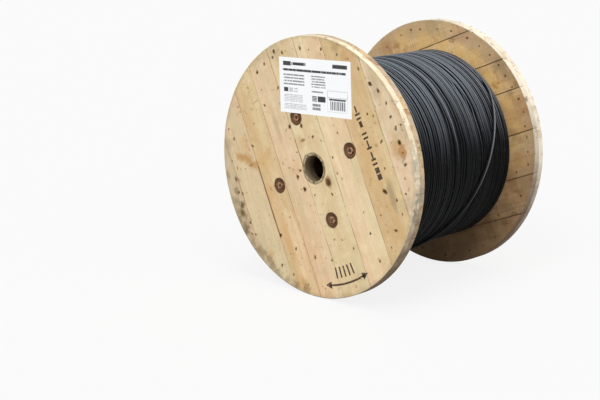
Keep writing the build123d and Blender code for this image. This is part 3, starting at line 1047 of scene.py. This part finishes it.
label_faces = np.concatenate([quads, quads[:, ::-1] + count, edge_faces])

made, shader, place = new_material("label_paper")
sheet_right, sheet_up = parts(place.node("TexCoord", out=2))[:2]
left = sheet_right * (label_w / mm)
down = (1.0 - sheet_up) * (label_h / mm)


def block(x_start, x_end, y_start, y_end):
    """1 inside a printed rectangle, measured in millimetres from the sheet's top left corner."""
    wide = left.node("Math", {"operation": "COMPARE"},
                     {0: left, 1: (x_start + x_end) / 2, 2: (x_end - x_start) / 2})
    tall = down.node("Math", {"operation": "COMPARE"},
                     {0: down, 1: (y_start + y_end) / 2, 2: (y_end - y_start) / 2})
    return wide * tall


def ruled(x_start, x_end, y_start, y_end, lines, word, share=0.45, tall=0.27):
    """Rows of short dashes in a rectangle, uneven in length, where small print would be."""
    row = (down - y_start) * (lines / (y_end - y_start))
    inside = row.math("FRACT", row, 0.0)
    bar = inside.node("Math", {"operation": "COMPARE"}, {0: inside, 1: 0.5, 2: tall})
    cell = row.math("FLOOR", row, 0.0)
    spot = row.node("CombineXYZ", {}, {0: left / word, 1: cell * 7.3, 2: x_start})
    dash = fade(noise(spot, 1.0, 1.0), share - 0.03, share + 0.03)
    return block(x_start, x_end, y_start, y_end) * bar * dash


def bars(x_start, x_end, y_start, y_end, pitch):
    """Upright bars of uneven width."""
    spot = left.node("CombineXYZ", {}, {0: left / pitch, 1: 3.0, 2: y_start})
    return block(x_start, x_end, y_start, y_end) * fade(noise(spot, 1.0, 2.0), 0.48, 0.52)


def frame_line(x_start, x_end, y_start, y_end, width):
    """A thin line round a rectangle."""
    inside = block(x_start + width, x_end - width, y_start + width, y_end - width)
    return block(x_start, x_end, y_start, y_end) - inside


def together(masks):
    """The darkest of several printed masks at each place."""
    total = masks[0]
    for mask in masks[1:]:
        total = largest(total, mask)
    return total


black_print = together([
    block(17, 50, 12, 25), block(18, 36, 91, 104), block(159, 191, 110, 127),
    ruled(53, 112, 12, 25, 1, 4.2, 0.36, 0.34), ruled(222, 281, 10, 26, 1, 6.0, 0.32, 0.36),
    ruled(15, 275, 32, 43, 1, 2.8, 0.38, 0.32), ruled(136, 156, 110, 127, 4, 2.4, 0.35, 0.35),
    ruled(206, 273, 113, 119, 1, 3.0, 0.34, 0.42), bars(210, 273, 121, 147, 3.4),
])
grey_print = together([
    ruled(17, 105, 48, 85, 4, 3.2, 0.41, 0.25), block(40, 56, 91, 104) * 0.5, ruled(60, 76, 91, 104, 3, 2.6),
    ruled(17, 96, 111, 135, 5, 2.2) * 0.7, ruled(17, 112, 139, 157, 4, 2.2) * 0.7,
    ruled(134, 192, 48, 87, 5, 3.2, 0.41, 0.26), ruled(134, 182, 93, 102, 1, 3.0, 0.40, 0.26),
    ruled(136, 170, 132, 154, 2, 3.0, 0.36, 0.36),
    frame_line(199, 280, 90, 111, 1.2) * 0.8, frame_line(199, 280, 112, 153, 1.0) * 0.5,
])
fibre = noise(place, 420.0, 2.0)
ink = fade(noise(place, 700.0, 1.0), 0.2, 0.5, 0.12) + 0.86
colour = layered(tint(250, 251, 252), ((fibre, 0.3, 0.7, 1.0, tint(243, 245, 247)),))
colour = over(grey_print * 0.85, colour, tint(104, 106, 112))
colour = over(black_print * ink, colour, tint(26, 26, 30))
dress(shader, colour, 0.55, fibre, 0.00005)

label = mesh_piece("stapled_label", np.concatenate([front, back]), label_faces, made)
uv = label.data.uv_layers.new(name="UVMap")
corner = np.empty(len(label.data.loops), np.int32)
label.data.loops.foreach_get("vertex_index", corner)
sheet_uv = np.stack([grid_u.ravel(), grid_v.ravel()], -1)[corner % count]
uv.data.foreach_set("uv", sheet_uv.astype(np.float32).ravel())
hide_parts("paper_label")


# Sawdust in the joints
# The near face's boards are butted tight, and fine dust has filled their joints to just below the surface.
# One joint has opened between two nails, and it stays dark.
def prisms(outlines, y_front, y_back):
    """Closed flat slabs, one for each outline of (x, z) points, anticlockwise from the front."""
    points, faces = [], []
    for outline in outlines:
        start, size = len(points), len(outline)
        points += [(x, y_front, z) for x, z in outline] + [(x, y_back, z) for x, z in outline]
        faces.append(tuple(range(start, start + size)))
        faces.append(tuple(range(start + 2 * size - 1, start + size - 1, -1)))
        for corner in range(size):
            after = (corner + 1) % size
            faces.append((start + after, start + corner, start + size + corner, start + size + after))
    return points, faces


dust_top = near_face + 0.00030
dust_bottom = near_face + 0.00150
dust_margin = 0.006
dust_clearance = 0.0005
open_joint = 2
grain_turn = radians(near_outer_angle)
holes = [(0.0, 0.0, bush_r + dust_clearance)] + [(x, z, recess_r) for x, z in bolt_places]
strips = []
for number in range(1, outer_board_count):
    joint_low = board_span(f"near_outer_board_{number}", grain_turn)[0][1]
    joint_high = board_span(f"near_outer_board_{number + 1}", grain_turn)[0][0]
    joint_middle = (joint_low + joint_high) / 2
    reach = (flange_r ** 2 - joint_middle ** 2) ** 0.5 - dust_margin
    gaps = []
    if number == open_joint:
        gaps = [(start, end) for start, end, at_high in near_outer_cracks[number]]
    for x, z, hole_r in holes:
        hole_along, hole_across = turned_to(x, z, grain_turn)
        off = abs(hole_across - joint_middle)
        if off < hole_r:
            half = (hole_r ** 2 - off ** 2) ** 0.5 + dust_clearance
            gaps.append((hole_along - half, hole_along + half))
    ends = [-reach] + [end for gap_ends in sorted(gaps) for end in gap_ends] + [reach]
    for start, end in zip(ends[::2], ends[1::2]):
        corners = ((start, joint_low), (end, joint_low), (end, joint_high), (start, joint_high))
        strips.append([turned_to(along, across, -grain_turn) for along, across in corners])

made, shader, place = new_material("joint_dust")
packed = noise(place, 14.0, 4.0, 0.65)
dress(shader, layered(tint(196, 164, 118), ((packed, 0.42, 0.60, 1.0, tint(126, 94, 56)),)), 0.9)
points, faces = prisms(strips, dust_top, dust_bottom)
mesh_piece("near_face_joint_dust", points, faces, made)


# Stencilled marks
# Thin dark paint put on the near flange through a stencil: a curved arrow with a head at both ends,
# five strokes above it, and a row of bars and blocks up the right side. The paint is worn.
paint_front = near_face - 0.00015
paint_back = near_face - 0.00002


def ring_place(radius, angle):
    """The (x, z) place at a radius and an angle in degrees round the spindle."""
    return radius * cos(radians(angle)), radius * sin(radians(angle))


def stroke(x, z, length, width, angle):
    """A rectangle about a centre, its length at an angle in degrees."""
    along = (cos(radians(angle)) * length / 2, sin(radians(angle)) * length / 2)
    side = (-sin(radians(angle)) * width / 2, cos(radians(angle)) * width / 2)
    signs = ((-1, -1), (1, -1), (1, 1), (-1, 1))
    return [(x + a * along[0] + b * side[0], z + a * along[1] + b * side[1]) for a, b in signs]


marks = []
arrow_r = 0.3585
arrow_w = 0.0060
arrow_angles = np.linspace(-78.6, -54.0, 23)
for first, last in zip(arrow_angles, arrow_angles[1:]):
    marks.append([ring_place(arrow_r - arrow_w / 2, first), ring_place(arrow_r - arrow_w / 2, last),
                  ring_place(arrow_r + arrow_w / 2, last), ring_place(arrow_r + arrow_w / 2, first)])
head_len = 4.0
head_w = 0.0115
for tip, sign in ((-81.4, 1), (-51.4, -1)):
    base = tip + sign * head_len
    head = [ring_place(arrow_r, tip), ring_place(arrow_r + head_w, base), ring_place(arrow_r - head_w, base)]
    marks.append(head if sign < 0 else head[::-1])

stroke_r = 0.322
stroke_angles = (-72.5, -69.4, -66.3, -63.2, -60.1)
for angle in stroke_angles:
    marks.append(stroke(*ring_place(stroke_r, angle), 0.034, 0.0062, angle))

# Each mark of the row has its share of the way, its length and width in millimetres, and its turn.
row_start = (0.166, 0.205)
row_end = (0.270, 0.008)
row_angle = degrees(atan2(row_end[1] - row_start[1], row_end[0] - row_start[0]))
row_marks = ((0.02, 20, 6, 0), (0.09, 20, 6, 90), (0.15, 20, 6, 90), (0.23, 18, 12, 0), (0.36, 20, 6, 90),
             (0.42, 20, 6, 90), (0.50, 20, 6, 0), (0.56, 20, 6, 90), (0.66, 20, 6, 0), (0.72, 20, 6, 90),
             (0.78, 20, 6, 90), (0.87, 17, 17, 0), (0.96, 17, 17, 0))
for share, length, width, turned in row_marks:
    x = row_start[0] + share * (row_end[0] - row_start[0])
    z = row_start[1] + share * (row_end[1] - row_start[1])
    marks.append(stroke(x, z, length * mm, width * mm, row_angle + turned))

made, shader, place = new_material("stencil_paint")
worn = noise(place, 160.0, 4.0, 0.7)
colour = layered(tint(54, 38, 24), ((worn, 0.4, 0.6, 1.0, tint(84, 62, 44)),))
dress(shader, colour, 0.7, alpha=fade(worn, 0.34, 0.46, 0.92))
points, faces = prisms(marks, paint_front, paint_back)
mesh_piece("stencil_marks", points, faces, made)


# Studio
# A pale floor that the camera sees as nearly white, and even white light from above, from the front and
# from the right, all of it soft.
floor_reach = 60.0
floor_z = cad_low.z
floor_sides = ((-floor_reach, -floor_reach), (floor_reach, -floor_reach), (floor_reach, floor_reach),
               (-floor_reach, floor_reach))
floor_mesh = bpy.data.meshes.new("floor")
floor_mesh.from_pydata([(x, y, floor_z) for x, y in floor_sides], [], [(0, 1, 2, 3)])
floor = bpy.data.objects.new("floor", floor_mesh)
bpy.context.scene.collection.objects.link(floor)
made, shader, place = new_material("floor_white")
dress(shader, (0.60, 0.60, 0.60, 1.0), 0.9, shine=0.1)
rays = place.node("LightPath", out=0)
shown = rays.node("Emission", {}, {"Color": (1.0, 1.0, 1.0, 1.0), "Strength": 1.0})
mixed = rays.node("MixShader", {}, {0: rays * 0.85, 2: shown})
made.node_tree.links.new(shader.outputs[0], mixed.socket.node.inputs[1])
made.node_tree.links.new(mixed.socket, made.node_tree.nodes["Material Output"].inputs["Surface"])
floor_mesh.materials.append(made)

ambient = 0.36
mirrored = 0.4
world = bpy.data.worlds.new("studio")
bpy.context.scene.world = world
world.use_nodes = True
paths = world.node_tree.nodes.new("ShaderNodeLightPath")
to_camera = Signal(world.node_tree, paths.outputs["Is Camera Ray"])
to_mirror = Signal(world.node_tree, paths.outputs["Is Glossy Ray"])
strength = largest(largest(to_camera, to_mirror * mirrored), ambient)
background = world.node_tree.nodes["Background"]
background.inputs["Color"].default_value = (1.0, 1.0, 1.0, 1.0)
world.node_tree.links.new(strength.socket, background.inputs["Strength"])


def sun(name, azimuth, elevation, strength, spread):
    """A wide soft light from far away. Azimuth 0 shines from -Y towards +Y, and 90 from +X."""
    lamp = bpy.data.lights.new(name, "SUN")
    lamp.energy = strength
    lamp.angle = radians(spread)
    made = bpy.data.objects.new(name, lamp)
    made.rotation_euler = (radians(90 - elevation), 0, radians(azimuth))
    bpy.context.scene.collection.objects.link(made)


sun("key_light", 15, 42, 1.75, 40)
sun("side_light", 82, 38, 0.8, 40)
sun("top_light", 60, 80, 1.1, 30)

camera_azimuth = 44.758
camera_elevation = 13.566
camera_data = bpy.data.cameras.new("camera")
camera_data.sensor_width = 36
camera_data.lens = 87
camera = bpy.data.objects.new("camera", camera_data)
camera.location = (2.9726, -3.3616, 0.9313)
camera.rotation_euler = (radians(90 - camera_elevation), 0, radians(camera_azimuth))
bpy.context.scene.collection.objects.link(camera)
bpy.context.scene.camera = camera
bpy.context.scene.view_settings.view_transform = "Standard"
